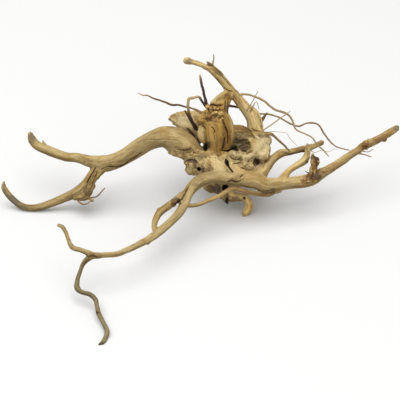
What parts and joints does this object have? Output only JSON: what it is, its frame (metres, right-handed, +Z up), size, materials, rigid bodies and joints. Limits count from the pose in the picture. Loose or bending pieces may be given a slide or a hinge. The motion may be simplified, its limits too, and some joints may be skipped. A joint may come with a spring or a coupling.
{
  "type": "spiderwood root",
  "caption": "Dried spiderwood root: a knotty hollowed burl with long forked arms, a raised crown limb and fine twisting rootlets, lying on its low tips.",
  "frame": {"origin": "centre of the bounding box on the floor plane, z = 0, under the burl's front", "axes": "+X along the root's longest extent, towards the long right arm; +Z up as it lies; the front faces -Y, where the long front root reaches"},
  "size_m": [0.4031, 0.2841, 0.1386],
  "materials": {
    "weathered_wood": "dry, matt, barkless root wood, pale straw with ochre and brown patches"
  },
  "bodies": {
    "root": {"spiderwood_root": "weathered_wood"}
  },
  "joints": []
}
